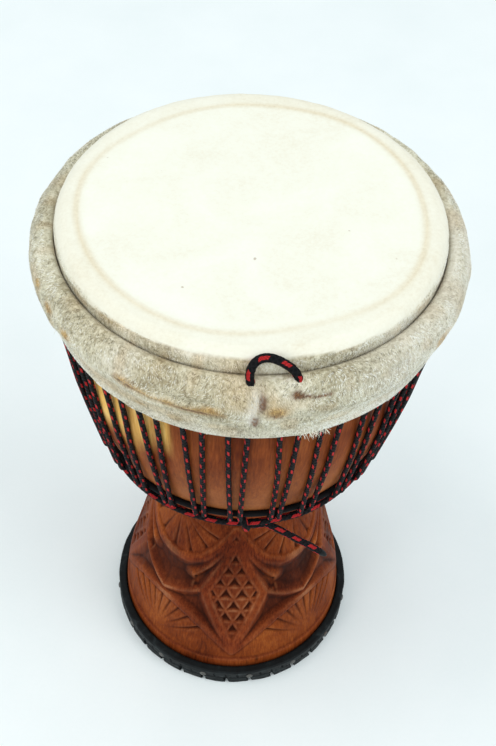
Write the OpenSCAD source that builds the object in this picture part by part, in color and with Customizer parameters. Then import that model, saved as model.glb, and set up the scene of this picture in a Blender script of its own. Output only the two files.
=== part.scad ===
// Djembe: a rope-tuned goblet hand drum with a goatskin head on a carved one-piece wooden shell.
// Millimetres, +Z up. The origin is on the drum's axis, on the surface that it stands on.

/* [Shell] */
// Height of the playing skin above the ground
head_height = 590; // [580:1:600]
// Outer radius of the bowl under the playing edge
bowl_r = 158.5; // [156:0.5:160]
// Height at which the bowl is widest
bowl_z = 500; // [495:1:505]
// Radius of the bowl's long outward curve, in section
bowl_arc = 440; // [430:5:450]
// Outer radius of the foot where it stands
foot_r = 124.5; // [123:0.5:126]
// Wall thickness of the shell
wall = 18; // [14:1:18]

/* [Head] */
// Thickness of the goatskin
hide = 1.2; // [1:0.1:1.4]
// Rod diameter of the flesh ring that the skin wraps around
flesh_rod = 6; // [5:0.5:6]
// Height of the flesh ring
flesh_z = 540; // [538:1:542]
// Rod diameter of the crown ring
crown_rod = 7; // [6:0.5:7]
// Height of the hem of the hair collar
hem_z = 506; // [500:1:510]

/* [Rope] */
// Diameter of the lacing rope
lacing_d = 4.8; // [4.4:0.1:5]
// Number of V-shaped pairs of lacing
pairs = 28; // [24:1:28]
// Diameter of the waist rope and of the carry loop
waist_d = 6.8; // [6.2:0.1:7]
// Height of the waist rope
waist_z = 329.5; // [328:0.5:330]
// Angle from the front to the waist knot
knot_angle = 4.5; // [0:0.5:10]
// Angle from the front to the middle of the carry loop
loop_angle = 8; // [0:0.5:20]
// Distance between the two feet of the carry loop
loop_w = 34; // [32:1:36]
// Reach of the carry loop from its feet to the middle of the rope at its top
loop_h = 26; // [24:1:27]

/* [Foot] */
// Thickness of the tyre strip nailed around the foot
tyre_t = 9; // [8:0.5:10]
// Height of the tyre strip
tyre_h = 22; // [19:1:24]
// Number of tread notches around the tyre strip
notches = 32; // [24:1:36]
// Number of tacks that hold the tyre strip
tacks = 16; // [12:1:18]

/* [Hidden] */
$fn = 96;
gap = 0.1;
lacing_r = lacing_d / 2;
waist_r = waist_d / 2;

// Points on a circular arc in the section plane (radius, height), from angle a0 to angle a1.
function arc(c, r, a0, a1, n) = [for (i = [0:n]) let(a = a0 + (a1 - a0) * i / n) c + r * [cos(a), sin(a)]];
function reversed(p) = [for (i = [len(p) - 1:-1:0]) p[i]];
function bearing(v) = atan2(v[1], v[0]);

// The shell's section is a chain of tangent arcs. Depth 0 is the outer face, depth wall the inner face.
foot_lift = 2;
belly_angle = 23;
under_arc = 110;
under_angle = 55;
throat_arc = 25;
stem_arc = 60;
foot_arc = 350;
rim_arc = 11;
rim_z = head_height - hide - gap - rim_arc;
bowl_c = [bowl_r - bowl_arc, bowl_z];
under_c = bowl_c + (bowl_arc - under_arc) * [cos(belly_angle), -sin(belly_angle)];
throat_c = under_c + (under_arc + throat_arc) * [cos(under_angle), -sin(under_angle)];
stem_c = throat_c + [stem_arc - throat_arc, 0];
foot_c = [foot_r - foot_arc, foot_lift];
flare = bearing(stem_c - foot_c) - acos((stem_arc + foot_arc) / norm(stem_c - foot_c));

function shell_side(depth) = concat(
    arc(foot_c, foot_arc - depth, 0, flare, 8),
    arc(stem_c, stem_arc + depth, 180 + flare, 180, 4),
    arc(throat_c, throat_arc + depth, 180, 180 - under_angle, 8),
    arc(under_c, under_arc - depth, -under_angle, -belly_angle, 8),
    arc(bowl_c, bowl_arc - depth, -belly_angle, 0, 12)
);
rim_c = [bowl_r - rim_arc, rim_z];
rim_inner_arc = wall - rim_arc;

// The hide's section follows its middle line, outward from the centre of the playing skin.
hide_side_r = bowl_r + gap + hide / 2;
flesh_wrap = flesh_rod / 2 + gap + hide / 2;
flesh_c = [hide_side_r + flesh_wrap, flesh_z];
hitch_r = crown_rod / 2 + 0.25 + lacing_r;
crown_wrap = hitch_r + lacing_r + 2 * gap + hide / 2;
crown_c_r = hide_side_r + hide + gap + crown_wrap;
crown_c = [crown_c_r, flesh_z + sqrt(pow(flesh_wrap + crown_wrap, 2) - pow(crown_c_r - flesh_c[0], 2))];
turn = bearing(crown_c - flesh_c);
hem_c = [bowl_r + 10.9, hem_z];
hem_v = crown_c - hem_c;
collar_angle = 90 - bearing(hem_v) + asin(crown_wrap / norm(hem_v));
hide_path = concat(
    [[0, rim_z + rim_arc + gap + hide / 2]],
    arc(rim_c, rim_arc + gap + hide / 2, 90, 0, 10),
    arc(flesh_c, flesh_wrap, 180, 360 + turn, 22),
    arc(crown_c, crown_wrap, 180 + turn, -collar_angle, 26),
    [hem_c]
);

// A strip of constant thickness around a path in the section plane.
function side_of(p, i) = let(
    v = p[min(i + 1, len(p) - 1)] - p[max(i - 1, 0)]
) [-v[1], v[0]] / norm(v);
function strip(p, t) = concat(
    [for (i = [0:len(p) - 1]) p[i] + t / 2 * side_of(p, i)],
    reversed([for (i = [0:len(p) - 1]) p[i] - t / 2 * side_of(p, i)])
);

// Lacing: each strand is taut from the bottom ring over the bowl to the crown ring.
bottom_rod = 4.6;
wrap_t = 0.5;
bottom_band = bottom_rod / 2 + wrap_t;
bottom_z = 348;
bottom_reach = bowl_arc + gap + bottom_band;
bottom_a = asin((bottom_z - bowl_z) / bottom_reach);
bottom_c = bowl_c + bottom_reach * [cos(bottom_a), sin(bottom_a)];
bight_r = bottom_band + 0.3 + lacing_r;
strand_arc = bowl_arc + 0.3 + lacing_r;
low_a = bottom_a + acos((strand_arc - bight_r) / bottom_reach);
lift_a = -7.5;
lift = bowl_c + strand_arc * [cos(lift_a), sin(lift_a)];
bend_z = 524;
bend = lift + (bend_z - lift[1]) * [-tan(lift_a), 1];
crown_v = crown_c - bend;
high_a = bearing(crown_v) - 90 - asin(hitch_r / norm(crown_v));
tuck_low = -112;
tuck_high = 130;
pitch = 360 / pairs;
bottom_half = 1.3;
top_half = pitch / 4;
strand_path = concat(
    arc(crown_c, hitch_r, tuck_high, high_a, 4),
    [bend, lift],
    arc(bowl_c, strand_arc, (lift_a + low_a) / 2, low_a, 1),
    [bottom_c + bight_r * [cos(low_a), sin(low_a)]],
    arc(bottom_c, bight_r, -45, tuck_low, 2)
);

// A point of the section plane, turned to an angle from the front, which is -Y.
function around(p, a) = [p[0] * sin(a), -p[0] * cos(a), p[1]];
function spread(z) = bottom_half + (top_half - bottom_half) * (z - bottom_z) / (crown_c[1] - bottom_z);
function strand(i, side) = [for (p = strand_path) around(p, i * pitch + side * spread(p[1]))];
lacing_path = [for (i = [0:pairs - 1], side = [-1, 1], p = side < 0 ? strand(i, -1) : reversed(strand(i, 1))) p];

// Rings of a round tube along a path. Each ring's first spoke is carried on from the ring before it.
function unit(v) = v / norm(v);
function heading(p, i) = unit(
    (i < len(p) - 1 ? unit(p[i + 1] - p[i]) : [0, 0, 0]) + (i > 0 ? unit(p[i] - p[i - 1]) : [0, 0, 0])
);
function across(v, t) = unit(v - (v * t) * t);
function spokes(p, first) = [
    for (
        i = 0, v = across(first, heading(p, 0));
        i < len(p);
        i = i + 1, v = i < len(p) ? across(v, heading(p, i)) : v
    ) v
];
function tube_points(p, d, sides, first) = let(s = spokes(p, first)) [
    for (i = [0:len(p) - 1], k = [0:sides - 1])
        p[i] + d / 2 * (cos(360 * k / sides) * s[i] + sin(360 * k / sides) * cross(heading(p, i), s[i]))
];
function tube_faces(n, sides) = concat(
    [[for (k = [0:sides - 1]) k]],
    [for (i = [0:n - 2], k = [0:sides - 1])
        [i * sides + k, (i + 1) * sides + k, (i + 1) * sides + (k + 1) % sides, i * sides + (k + 1) % sides]],
    [[for (k = [sides - 1:-1:0]) (n - 1) * sides + k]]
);

// Waist rope: one turn against the bowl, under the bights of the lacing. Its knot is one turn around it.
waist_c = [129.6, waist_z];
knot_reach = waist_d + gap;
knot_c = waist_c + knot_reach * [cos(-105), sin(-105)];
knot_run = 8.5;
knot_ball = waist_d + 1;

// Carry loop: the eyes at its feet turn on a chord above the crown ring and its top rests on the rim.
foot_eye = waist_d + 0.8;
foot_reach = crown_wrap + hide / 2 + 0.3 + foot_eye / 2;
foot_a = 85;
foot_spot = crown_c + foot_reach * [cos(foot_a), sin(foot_a)];
chord = [sqrt(pow(foot_spot[0], 2) - pow(loop_w / 2, 2)), foot_spot[1]];
foot_turn = asin(loop_w / 2 / foot_spot[0]);
loop_r = (pow(loop_h, 2) + pow(loop_w / 2, 2)) / (2 * loop_h);
loop_half = 180 - asin(loop_w / 2 / loop_r);
loop_v = rim_c - chord;
rest_reach = rim_arc + gap + hide + 0.5 + waist_r;
loop_tilt = bearing(loop_v) - asin(rest_reach / norm(loop_v)) - 90;
stub_low = crown_wrap - hide / 2 - gap;

// Rope tail: it leaves the knot and hangs clear of the foot.
tail_route = [[29, -125, 320], [35, -126, 317], [45, -127, 311], [57, -128, 302], [70, -128, 292], [81, -128, 282]];
tip_route = [[81, -128, 282], [84, -128, 279], [88, -128, 275]];

// Turns a child that is built in the X-Z plane to an angle from the front, which is -Y.
module at_angle(a) {
    rotate([0, 0, a - 90])
        children();
}

// A rope bent on an arc in the X-Z plane.
module rope_arc(c, r, a0, a1, d) {
    translate([c[0], 0, c[1]])
        rotate([90, 0, 0])
            rotate([0, 0, min(a0, a1)])
                rotate_extrude(angle = abs(a1 - a0))
                    translate([r, 0])
                        circle(d = d, $fn = 32);
}

// A round tube through a list of points.
module tube(p, d, sides, first) {
    polyhedron(tube_points(p, d, sides, first), tube_faces(len(p), sides), convexity = 10);
}

// A hoop of round rod about the drum's axis.
module hoop(c, d) {
    rotate_extrude()
        translate(c)
            circle(d = d, $fn = 32);
}

module shell() {
    color("#9c5a3a")
        rotate_extrude()
            polygon(concat(
                shell_side(0),
                arc(rim_c, rim_arc, 0, 90, 8),
                arc([rim_c[0], rim_z + rim_arc - rim_inner_arc], rim_inner_arc, 90, 180, 6),
                reversed(shell_side(wall))
            ));
}

module goatskin_head() {
    color("#ece5d3")
        rotate_extrude()
            polygon(strip(hide_path, hide));
}

module flesh_ring() {
    color("#8d8f92")
        hoop(flesh_c, flesh_rod);
}

module crown_ring() {
    color("#8d8f92")
        hoop(crown_c, crown_rod);
}

// Two turns of rope around the crown ring, between each two strands of one pair.
module crown_hitches() {
    color("#1c1b1c")
        for (i = [0:pairs - 1], side = [-1, 1])
            at_angle(i * pitch)
                translate([0, side * (lacing_r + gap), 0])
                    rope_arc(crown_c, hitch_r, 0, 360, lacing_d);
}

module lacing_rope() {
    color("#1c1b1c")
        tube(lacing_path, lacing_d, 6, [0, 0, 1]);
}

module bottom_ring() {
    color("#8d8f92")
        hoop(bottom_c, bottom_rod);
}

module bottom_ring_wrap() {
    color("#151515")
        rotate_extrude()
            translate(bottom_c)
                difference() {
                    circle(d = 2 * bottom_band, $fn = 32);
                    circle(d = bottom_rod, $fn = 32);
                }
}

module waist_rope() {
    color("#1c1b1c")
        hoop(waist_c, waist_d);
}

// The rope's end turns around the waist rope and runs on under it.
module waist_knot() {
    color("#1c1b1c") {
        at_angle(knot_angle)
            rope_arc(waist_c, knot_reach, -105, 46, waist_d);
        at_angle(knot_angle)
            translate([knot_c[0], 0, knot_c[1]])
                sphere(d = knot_ball, $fn = 32);
        rotate([0, 0, knot_angle - 90])
            rotate_extrude(angle = knot_run)
                translate(knot_c)
                    circle(d = waist_d, $fn = 32);
    }
}

module rope_tail() {
    color("#1c1b1c")
        tube(tail_route, waist_d, 8, [0, 0, 1]);
}

module tail_tip() {
    color("#101010")
        tube(tip_route, waist_d - 1, 8, [0, 0, 1]);
}

module carry_loop() {
    color("#1c1b1c")
        at_angle(loop_angle)
            translate([chord[0], 0, chord[1]])
                rotate([0, -loop_tilt, 0]) {
                    translate([0, 0, loop_h - loop_r])
                        rotate([90, 0, 90])
                            rotate([0, 0, 90 - loop_half])
                                rotate_extrude(angle = 2 * loop_half)
                                    translate([loop_r, 0])
                                        circle(d = waist_d, $fn = 32);
                    for (side = [-1, 1])
                        translate([0, side * loop_w / 2, 0])
                            rotate([90, 0, 0])
                                cylinder(h = foot_eye, d = foot_eye, center = true, $fn = 32);
                }
}

// Short lengths of the carry loop's rope, where it goes through the hide to the crown ring.
module loop_anchors() {
    color("#1c1b1c")
        for (side = [-1, 1])
            at_angle(loop_angle + side * foot_turn)
                translate([crown_c[0], 0, crown_c[1]])
                    rotate([0, 90 - foot_a, 0])
                        translate([0, 0, stub_low])
                            cylinder(h = foot_reach - foot_eye / 2 - 0.3 - stub_low, d = waist_d, $fn = 32);
}

module foot_tyre() {
    inner_r = foot_r + 0.3;
    notch = [7, 4, 9];
    color("#1b1b1b")
        difference() {
            rotate_extrude()
                translate([inner_r, 0])
                    square([tyre_t, tyre_h]);
            for (i = [0:notches - 1])
                at_angle(i * 360 / notches)
                    translate([inner_r + tyre_t - notch[0] / 2 + 2, 0, 0])
                        cube([notch[0], notch[1], 2 * notch[2]], center = true);
        }
}

module tyre_tacks() {
    color("#b9b6ad")
        for (i = [0:tacks - 1])
            at_angle((i + 0.5) * 360 / tacks)
                translate([foot_r - 10, 0, tyre_h * 0.62])
                    rotate([0, 90, 0]) {
                        cylinder(h = 10.3 + tyre_t, d = 2, $fn = 24);
                        translate([0, 0, 10.3 + tyre_t])
                            cylinder(h = 1, d = 7, $fn = 24);
                    }
}

shell();
goatskin_head();
flesh_ring();
crown_ring();
crown_hitches();
lacing_rope();
bottom_ring();
bottom_ring_wrap();
waist_rope();
waist_knot();
rope_tail();
tail_tip();
carry_loop();
loop_anchors();
foot_tyre();
tyre_tacks();
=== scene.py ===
import math
import random

import bpy
import numpy as np
from mathutils import Matrix, Vector


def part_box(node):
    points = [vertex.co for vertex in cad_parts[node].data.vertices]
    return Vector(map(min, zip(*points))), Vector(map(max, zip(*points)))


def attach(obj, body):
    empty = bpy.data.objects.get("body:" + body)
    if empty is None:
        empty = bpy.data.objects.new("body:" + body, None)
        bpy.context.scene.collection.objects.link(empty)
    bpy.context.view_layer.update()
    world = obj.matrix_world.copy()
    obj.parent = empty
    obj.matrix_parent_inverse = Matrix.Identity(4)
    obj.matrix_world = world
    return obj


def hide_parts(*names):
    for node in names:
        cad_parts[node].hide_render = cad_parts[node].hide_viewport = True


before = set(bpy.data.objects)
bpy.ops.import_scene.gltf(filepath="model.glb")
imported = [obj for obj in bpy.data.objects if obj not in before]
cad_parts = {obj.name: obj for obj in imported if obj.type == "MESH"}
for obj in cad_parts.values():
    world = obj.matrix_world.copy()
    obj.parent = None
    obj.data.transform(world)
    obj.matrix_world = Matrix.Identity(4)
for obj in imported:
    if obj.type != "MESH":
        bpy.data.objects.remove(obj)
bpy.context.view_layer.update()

# Lengths in this script are millimetres until mesh_piece() turns them into metres.
# Angles round the drum are in degrees from its front, which is -Y, towards +X.
MM = 0.001
SEED = 11
LOOP_ANGLE = 8
UP = np.array([0, 0, 1])


# ---- frame and camera

def ring_of(node):
    """(radius, height, rod radius) of a CAD ring about the drum's axis, in mm."""
    low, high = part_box(node)
    rod = (high.z - low.z) / 2 / MM
    return high.x / MM - rod, (high.z + low.z) / 2 / MM, rod


CROWN_R, CROWN_Z, _ = ring_of("crown_ring")
_, BOTTOM_Z, _ = ring_of("bottom_ring_wrap")
WAIST_R, WAIST_Z, ROPE_R = ring_of("waist_rope")
HEM_Z, HEAD_Z = (corner.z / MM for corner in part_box("goatskin_head"))
TYRE_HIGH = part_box("foot_tyre")[1]

CAMERA_TURN = (0.36, 49.84, 3.57)
CAMERA_PLACE, CAMERA_LENS = (0, -0.6823, 1.1923), 54.05


def make_camera():
    """A level camera turned by yaw, tipped down and rolled, in degrees."""
    yaw, down, roll = (math.radians(a) for a in CAMERA_TURN)
    flat = math.cos(down)
    forward = Vector((math.sin(yaw) * flat, math.cos(yaw) * flat, -math.sin(down)))
    level = Vector((math.cos(yaw), -math.sin(yaw), 0))
    over = level.cross(forward)
    right = math.cos(roll) * level + math.sin(roll) * over
    up = right.cross(forward)
    data = bpy.data.cameras.new("camera")
    data.sensor_width = 36
    data.lens = CAMERA_LENS
    data.dof.use_dof = False
    camera = bpy.data.objects.new("camera", data)
    turn = Matrix((right, up, -forward)).transposed().to_4x4()
    camera.matrix_world = Matrix.Translation(CAMERA_PLACE) @ turn
    bpy.context.scene.collection.objects.link(camera)
    bpy.context.scene.camera = camera


make_camera()


# ---- mesh helpers

def mesh_piece(name, points, faces, material, body="drum", uv=None, smooth=True):
    """A mesh object from points in mm, riding on a CAD body."""
    data = bpy.data.meshes.new(name)
    data.from_pydata((np.asarray(points, float) * MM).tolist(), [], faces)
    data.update()
    if smooth:
        data.polygons.foreach_set("use_smooth", [True] * len(data.polygons))
    if uv is not None:
        layer = data.uv_layers.new(name="lay")
        layer.data.foreach_set("uv", np.asarray(uv, np.float32).ravel())
    data.materials.append(material)
    piece = bpy.data.objects.new(name, data)
    bpy.context.scene.collection.objects.link(piece)
    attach(piece, body)
    return piece


def point_values(piece, **named):
    """Stores numbers, one per point, on the mesh for its material."""
    for name, values in named.items():
        layer = piece.data.attributes.new(name, "FLOAT", "POINT")
        layer.data.foreach_set("value", np.asarray(values, np.float32).ravel())


def polar(radius, angle, height):
    """Points at an angle from the front."""
    a = np.radians(angle)
    return np.stack(np.broadcast_arrays(radius * np.sin(a), -radius * np.cos(a), height), -1)


def directions(angle):
    """Unit vectors outwards and sideways at an angle from the front."""
    a = math.radians(angle)
    return np.array([math.sin(a), -math.cos(a), 0]), np.array([math.cos(a), math.sin(a), 0])


def columns(around):
    """The angles of a number of columns of points spaced evenly round the drum."""
    return np.arange(around) * 360 / around - 180


def grid_faces(around, n, closed=False):
    """Quads between columns of n points. closed joins each column's last point to its first."""
    i = np.arange(around)[:, None]
    k = np.arange(n if closed else n - 1)
    j, m = (i + 1) % around, (k + 1) % n
    return np.stack([i * n + k, j * n + k, j * n + m, i * n + m], -1).reshape(-1, 4).tolist()


def arc(centre, radius, start, end, n):
    a = np.radians(np.linspace(start, end, n + 1))
    return np.stack([centre[0] + radius * np.cos(a), centre[1] + radius * np.sin(a)], -1)


def unit(vectors):
    return vectors / np.linalg.norm(vectors, axis=-1, keepdims=True)


def distances(path):
    """The length along a path up to each of its points."""
    return np.r_[0, np.cumsum(np.linalg.norm(np.diff(path, axis=0), axis=1))]


def resample(path, step):
    """Points about a step apart along a path."""
    path = np.asarray(path, float)
    away = distances(path)
    n = max(2, int(round(away[-1] / step)) + 1)
    at = np.linspace(0, away[-1], n)
    return np.stack([np.interp(at, away, path[:, k]) for k in range(path.shape[1])], -1)


def smooth_path(path, rounds=3):
    """Chaikin's corner cutting, which keeps both ends."""
    path = np.asarray(path, float)
    for _ in range(rounds):
        near, far = path[:-1], path[1:]
        cut = np.stack([0.75 * near + 0.25 * far, 0.25 * near + 0.75 * far], 1)
        path = np.vstack([path[:1], cut.reshape(-1, path.shape[1]), path[-1:]])
    return path


def soft_step(x, low, high):
    t = np.clip((x - low) / (high - low), 0, 1)
    return t * t * (3 - 2 * t)


def bell(x, wide):
    return np.exp(-(x / wide) ** 2)


def line_distance(sideways, z, line):
    """Distance in mm to a bent line of (angle, height), where sideways(angle) is the way to an angle in mm."""
    best = np.inf
    for (a0, z0), (a1, z1) in zip(line[:-1], line[1:]):
        x0, x1 = sideways(a0), sideways(a1)
        dx, dz = x1 - x0, z1 - z0
        t = np.clip(-(x0 * dx + (z0 - z) * dz) / (dx * dx + dz * dz), 0, 1)
        best = np.minimum(best, np.hypot(x0 + t * dx, z0 - z + t * dz))
    return best


def value_noise(x, y, cells_x, cells_y, seed):
    """Smooth noise from -1 to 1. x runs from 0 to 1 round the drum and wraps, y from 0 to 1 along it."""
    lattice = np.random.default_rng(SEED + seed).uniform(-1, 1, (cells_x, cells_y + 2))
    gx, gy = (x % 1) * cells_x, np.clip(y, 0, 1) * cells_y
    ix, iy = np.floor(gx).astype(int) % cells_x, np.floor(gy).astype(int)
    fx, fy = soft_step(gx - np.floor(gx), 0, 1), soft_step(gy - iy, 0, 1)
    jx = (ix + 1) % cells_x
    low = lattice[ix, iy] * (1 - fx) + lattice[jx, iy] * fx
    high = lattice[ix, iy + 1] * (1 - fx) + lattice[jx, iy + 1] * fx
    return low * (1 - fy) + high * fy


def round_noise(x, cells, seed):
    """Smooth noise that changes only round the drum."""
    return value_noise(x, 0 * x, cells, 1, seed)


def frames_along(path, closed=False):
    """Two unit normals along a path, carried on without twist."""
    steps = np.roll(path, -1, 0) - np.roll(path, 1, 0) if closed else np.gradient(path, axis=0)
    tangents = unit(steps)
    normal = np.cross(tangents[0], [0.3, 0.2, 1.0])
    normals = []
    for t in tangents:
        normal = unit(normal - (normal @ t) * t)
        normals.append(normal)
    normals = np.array(normals)
    return normals, np.cross(tangents, normals)


def tube(path, radius, sides, closed=False, twist=0.0, start=0.0):
    """A round tube: points, faces and, for each face corner, (length along in m, part of a turn)."""
    path = np.asarray(path, float)
    n = len(path)
    normals, sidewards = frames_along(path, closed)
    away = distances(path)
    radius = np.broadcast_to(radius, n)
    turn = np.arange(sides) / sides
    angle = 2 * np.pi * turn[None, :] + twist * away[:, None]
    ring = np.cos(angle)[..., None] * normals[:, None] + np.sin(angle)[..., None] * sidewards[:, None]
    points = (path[:, None] + radius[:, None, None] * ring).reshape(-1, 3)
    faces, uv = [], []
    total = away[-1] + (np.linalg.norm(path[0] - path[-1]) if closed else 0)
    for i in range(n if closed else n - 1):
        j = (i + 1) % n
        u0 = (start + away[i]) * MM
        u1 = (start + (total if j == 0 else away[j])) * MM
        for k in range(sides):
            m = (k + 1) % sides
            faces.append((i * sides + k, i * sides + m, j * sides + m, j * sides + k))
            v0, v1 = k / sides, (k + 1) / sides
            uv += [(u0, v0), (u0, v1), (u1, v1), (u1, v0)]
    if not closed:
        faces.append(tuple(range(sides - 1, -1, -1)))
        faces.append(tuple((n - 1) * sides + k for k in range(sides)))
        uv += [(at * MM, k / sides) for at in (start, start + total) for k in range(sides)]
    return points, faces, uv


def joined(parts):
    """Several (points, faces, uv) parts as one."""
    points, faces, uv, base = [], [], [], 0
    for p, f, u in parts:
        points.append(p)
        faces += [tuple(i + base for i in face) for face in f]
        uv += list(u)
        base += len(p)
    return np.vstack(points), faces, uv


# ---- material helpers

FULL_TURN = 6.283


class Shade:
    """A node tree with short names for what this script uses."""

    def __init__(self, name):
        self.material = bpy.data.materials.new(name)
        self.material.use_nodes = True
        self.tree = self.material.node_tree
        self.shader = self.tree.nodes["Principled BSDF"]

    def link(self, value, socket):
        if isinstance(value, bpy.types.NodeSocket):
            self.tree.links.new(value, socket)
        elif value is not None:
            socket.default_value = value

    def node(self, kind, inputs, out=0, **settings):
        """A new node's output. inputs are by name or number, settings are the node's properties."""
        made = self.tree.nodes.new(kind)
        for key, setting in settings.items():
            setattr(made, key, setting)
        for key, value in inputs.items():
            self.link(value, made.inputs[key])
        return made.outputs[out]

    def math(self, operation, a, b=None, c=None):
        return self.node("ShaderNodeMath", {0: a, 1: b, 2: c}, operation=operation)

    def weigh(self, a, share_a, b, share_b):
        return self.math("MULTIPLY_ADD", a, share_a, self.math("MULTIPLY", b, share_b))

    def wave(self, value, turns):
        return self.math("SINE", self.math("MULTIPLY", value, turns * FULL_TURN))

    def value(self, name):
        return self.node("ShaderNodeAttribute", {}, "Fac", attribute_name=name)

    def place(self, stretch):
        """Object coordinates in mm, stretched by one number or by three."""
        stretch = (stretch,) * 3 if isinstance(stretch, float) else stretch
        coords = self.node("ShaderNodeTexCoord", {}, "Object")
        return self.node("ShaderNodeMapping", {"Vector": coords, "Scale": [k / MM for k in stretch]})

    def noise(self, stretch, detail=3.0, roughness=0.5, distortion=0.0):
        return self.node("ShaderNodeTexNoise", {"Vector": self.place(stretch), "Scale": 1.0, "Detail": detail,
                                                "Roughness": roughness, "Distortion": distortion})

    def ramp(self, value, *stops):
        made = self.tree.nodes.new("ShaderNodeValToRGB")
        self.link(value, made.inputs[0])
        ramp = made.color_ramp
        while len(ramp.elements) < len(stops):
            ramp.elements.new(0.5)
        for element, (at, colour) in zip(ramp.elements, stops):
            element.position = at
            colour = (colour,) * 3 if isinstance(colour, (int, float)) else colour
            element.color = tuple(colour) + (1.0,)
        return made.outputs[0]

    def fade(self, value, first, last, low=0.3, high=0.7):
        return self.ramp(value, (low, first), (high, last))

    def mix(self, amount, a, b, blend="MIX"):
        a, b = (tuple(c) + (1.0,) if isinstance(c, tuple) else c for c in (a, b))
        return self.node("ShaderNodeMix", {0: amount, 6: a, 7: b}, 2, data_type="RGBA", blend_type=blend)

    def bump(self, height, strength=0.5, distance=0.3):
        """distance is in mm."""
        normal = self.node("ShaderNodeBump", {"Strength": strength, "Distance": distance * MM, "Height": height})
        self.link(normal, self.shader.inputs["Normal"])

    def surface(self, colour, roughness, **extra):
        self.link(colour, self.shader.inputs["Base Color"])
        self.link(roughness, self.shader.inputs["Roughness"])
        for key, value in extra.items():
            self.link(value, self.shader.inputs[key.replace("_", " ")])
        return self.material


def rope_material(name, pitch, rows, length, width, strands, dashes, gap):
    """Black braid with rows of red flecks round the rope, each row half a pitch on from the last.

    pitch is in mm, length and width are parts of a pitch and of a row, and each fleck is cut into
    dashes, which are thinner as gap is higher. strands is how often the braid crosses in a turn."""
    s = Shade(name)
    uv = s.node("ShaderNodeUVMap", {}, uv_map="lay")
    along = s.node("ShaderNodeSeparateXYZ", {0: uv})
    turn = s.node("ShaderNodeSeparateXYZ", {0: uv}, 1)
    row = s.math("MULTIPLY", turn, rows)
    row_at = s.math("SUBTRACT", s.math("FRACT", row), 0.5)
    shift = s.math("MULTIPLY", s.math("FLOOR", row), 0.5)
    slanted = s.math("MULTIPLY_ADD", row_at, 0.22, s.math("DIVIDE", along, pitch * MM))
    place = s.math("SUBTRACT", s.math("FRACT", s.math("ADD", slanted, shift)), 0.5)
    in_length = s.math("LESS_THAN", s.math("ABSOLUTE", place), length / 2)
    in_width = s.math("LESS_THAN", s.math("ABSOLUTE", row_at), width / 2)
    thread = s.math("GREATER_THAN", s.wave(s.math("MULTIPLY_ADD", row_at, 1.1, place), dashes), gap)
    fleck = s.math("MULTIPLY", s.math("MULTIPLY", in_length, in_width), thread)
    lay = s.math("DIVIDE", along, 4.6 * MM)
    over, under = (s.wave(s.math("MULTIPLY_ADD", turn, way * strands / 2, lay), 1) for way in (1, -1))
    braid = s.math("MAXIMUM", over, under)
    fuzz = s.noise(1.4, 4.0, 0.6)
    # The braid's proud crossings are a little lighter: a painted highlight on the black.
    black = s.ramp(s.math("MULTIPLY_ADD", braid, 0.25, fuzz),
                   (0.25, (0.0015, 0.0015, 0.002)), (0.62, (0.004, 0.004, 0.005)),
                   (0.95, (0.014, 0.013, 0.015)))
    red = s.fade(fuzz, (0.50, 0.012, 0.016), (0.85, 0.040, 0.040))
    s.bump(s.math("MULTIPLY_ADD", fleck, 0.5, braid), 0.8, 0.35)
    return s.surface(s.mix(fleck, black, red), s.fade(fuzz, 0.62, 0.80), Specular_IOR_Level=0.12)


# ---- materials

def wood_material(name):
    """Stained wood with colour layers on the mesh's points: warm and pale are the wood's own colour, low is painted
    shade and painted shadow together with darker stain, the rubbed-ridge layer is wear with a painted highlight on
    it, and lit is painted light.
    """
    s = Shade(name)
    streaks = s.noise((0.55, 0.55, 0.028), 5.0, 0.62, 0.4)
    pores = s.noise((1.5, 1.5, 0.09), 3.0, 0.6)
    clouds = s.noise((0.02, 0.02, 0.012), 3.0, 0.55, 0.3)
    tone = s.weigh(clouds, 0.55, streaks, 0.45)
    colour = s.ramp(tone, (0.34, (0.045, 0.0068, 0.0022)), (0.45, (0.112, 0.0175, 0.0045)),
                    (0.56, (0.188, 0.034, 0.0085)), (0.70, (0.285, 0.068, 0.018)))
    layers = {
        "warm": ((0.34, (0.13, 0.022, 0.004)), (0.50, (0.30, 0.064, 0.009)), (0.68, (0.50, 0.145, 0.024))),
        # Painted shade in cuts and creases, a painted shadow under the bottom ring, and darker stain.
        "low": ((0.3, (0.014, 0.003, 0.0015)), (0.7, (0.050, 0.010, 0.004))),
        # Rubbed ridges: wear with a painted highlight on it.
        "worn": ((0.3, (0.27, 0.095, 0.038)), (0.7, (0.44, 0.20, 0.095))),
        # Painted light.
        "lit": ((0.32, (0.23, 0.060, 0.018)), (0.5, (0.35, 0.115, 0.036)), (0.7, (0.46, 0.180, 0.066))),
        "pale": ((0.32, (0.66, 0.33, 0.07)), (0.5, (0.90, 0.53, 0.14)), (0.7, (1.0, 0.76, 0.31))),
    }
    for stored, stops in layers.items():
        colour = s.mix(s.value(stored), colour, s.ramp(tone, *stops))
    colour = s.mix(0.7, colour, s.ramp(pores, (0.30, 0.62), (0.46, 1.0)), "MULTIPLY")
    rough = s.fade(s.weigh(streaks, 0.6, pores, 0.4), 0.40, 0.60, high=0.75)
    s.bump(s.math("MULTIPLY_ADD", pores, 0.5, streaks), 0.35, 0.35)
    return s.surface(colour, rough, Specular_IOR_Level=0.035)


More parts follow.
